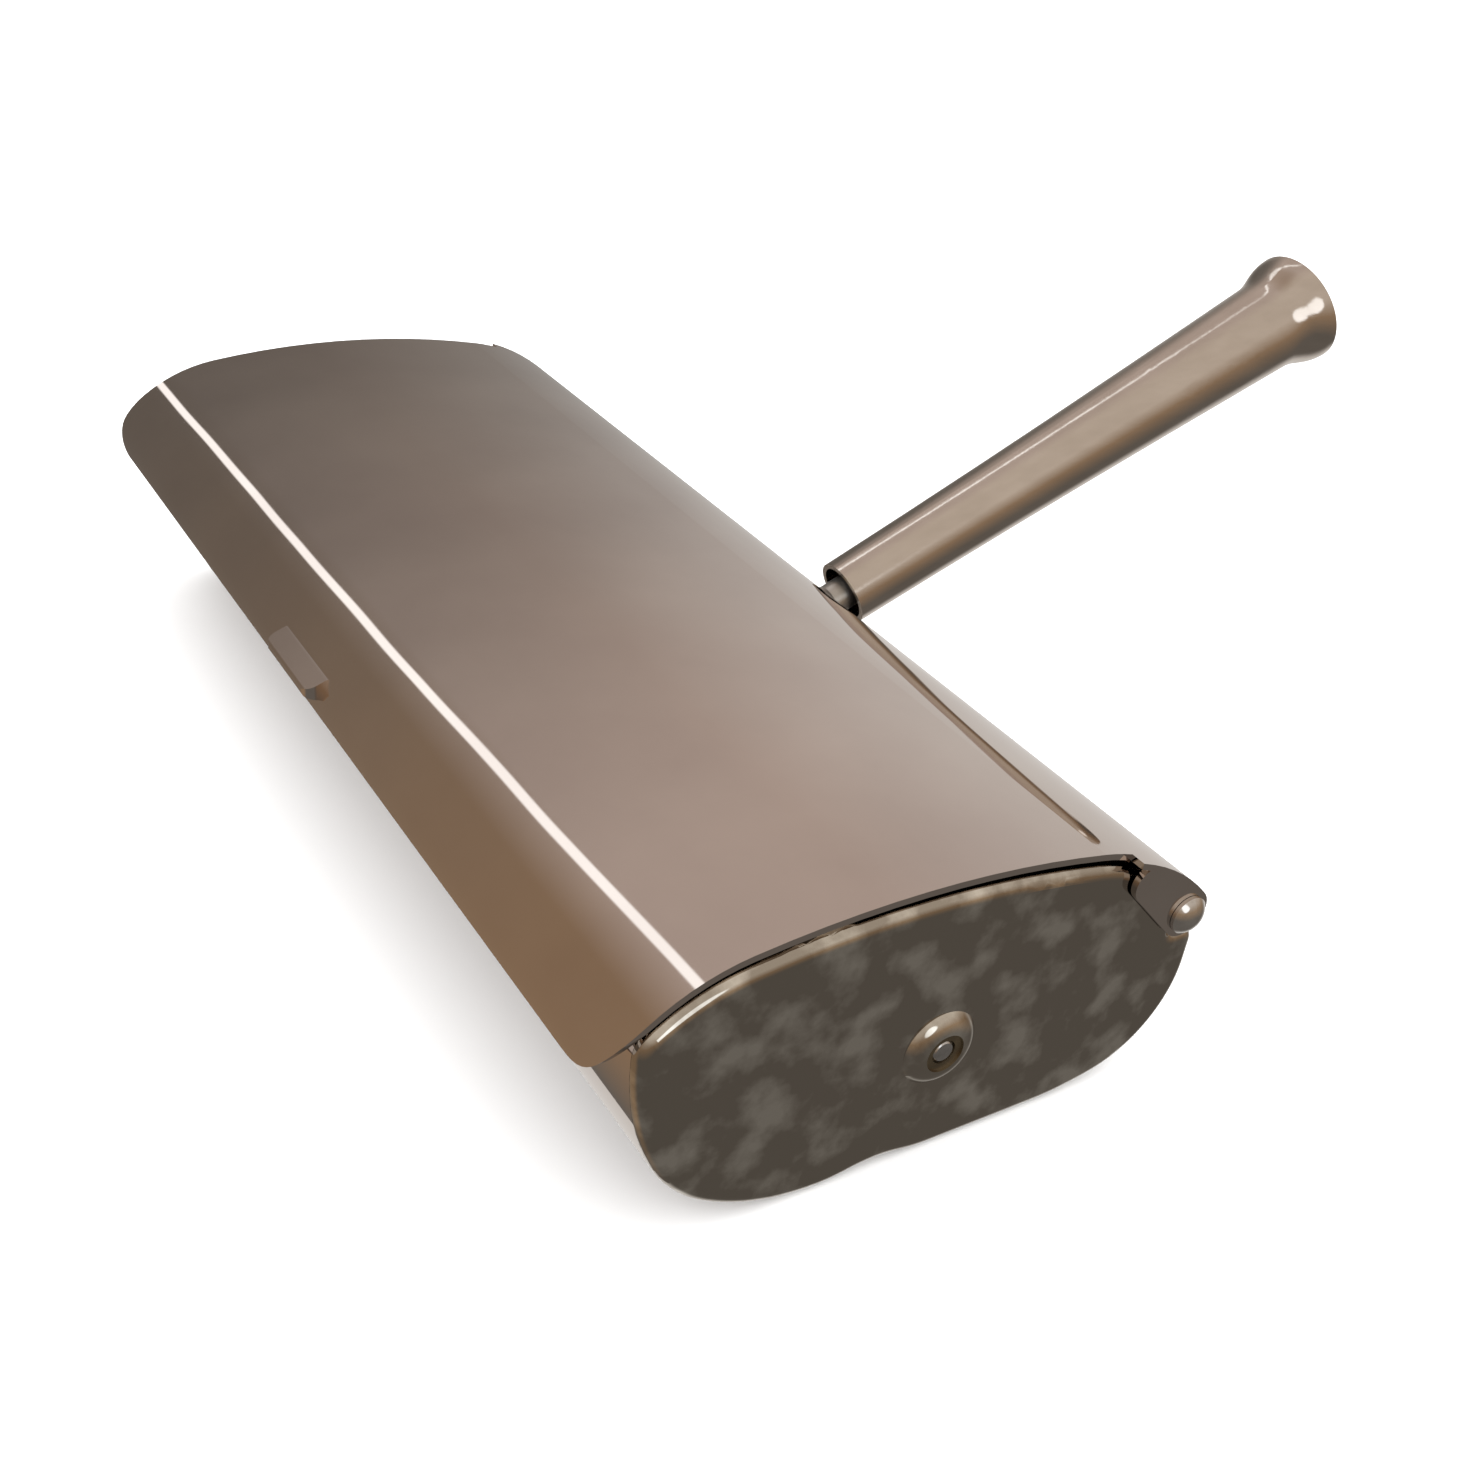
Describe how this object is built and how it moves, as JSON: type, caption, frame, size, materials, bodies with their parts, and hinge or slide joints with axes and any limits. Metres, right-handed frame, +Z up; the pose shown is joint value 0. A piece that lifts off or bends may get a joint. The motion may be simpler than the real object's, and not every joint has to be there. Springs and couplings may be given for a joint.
{
  "type": "table crumb sweeper",
  "caption": "Hand-held table crumb sweeper: metal case with a roller brush in its sole, crumb troughs, hinged lid with a thumb tab and a sloped hollow handle.",
  "frame": {"origin": "centre of the bounding box at the sole, on the surface that the sweeper stands on", "axes": "+X along the case, +Y towards the handle, +Z up; the brush axle and the lid hinge both run along X"},
  "size_m": [0.172, 0.1778, 0.0704],
  "materials": {
    "chrome_shell": "polished chrome plate on bent sheet steel",
    "chrome_plate": "polished chrome plate, slightly duller pressed ends",
    "satin_handle": "satin nickel-chrome plate",
    "bare_steel": "plain bright steel sheet",
    "spring_steel": "blued spring steel",
    "bright_rivets": "plated rivets",
    "brass_bush": "turned brass, slightly tarnished",
    "steel_axle": "ground steel rod",
    "turned_wood": "turned beech, unvarnished",
    "dark_bristle": "stiff black bristle",
    "wheel_wood": "turned beech discs",
    "black_rubber": "moulded black rubber"
  },
  "bodies": {
    "case": {"base_pan": "chrome_shell", "end_plate_left": "chrome_plate", "end_plate_right": "chrome_plate", "front_crumb_ramp": "bare_steel", "rear_crumb_ramp": "bare_steel", "axle_bush_left": "brass_bush", "axle_bush_right": "brass_bush", "catch_spring": "spring_steel", "catch_rivets": "bright_rivets", "handle_bracket": "bare_steel", "bracket_rivets": "bright_rivets", "handle_tube": "satin_handle", "handle_plug": "turned_wood", "handle_cap": "satin_handle", "hinge_rivets": "bright_rivets", "hinge_washers": "bright_rivets"},
    "lid": {"lid": "chrome_shell"},
    "brush": {"brush_core": "turned_wood", "brush_axle": "steel_axle", "bristle_strips": "dark_bristle", "drive_wheel_left": "wheel_wood", "drive_wheel_right": "wheel_wood", "drive_tyre_left": "black_rubber", "drive_tyre_right": "black_rubber", "axle_spacers": "bright_rivets"}
  },
  "joints": [
    {"name": "lid_hinge", "type": "hinge", "parent": "case", "child": "lid", "pos_m": [0, -0.01067, 0.0247], "axis": [-1, 0, 0], "range_deg": [0, 75]},
    {"name": "brush_spin", "type": "hinge", "parent": "case", "child": "brush", "pos_m": [0, -0.04457, 0.0158], "axis": [1, 0, 0], "continuous": true}
  ]
}
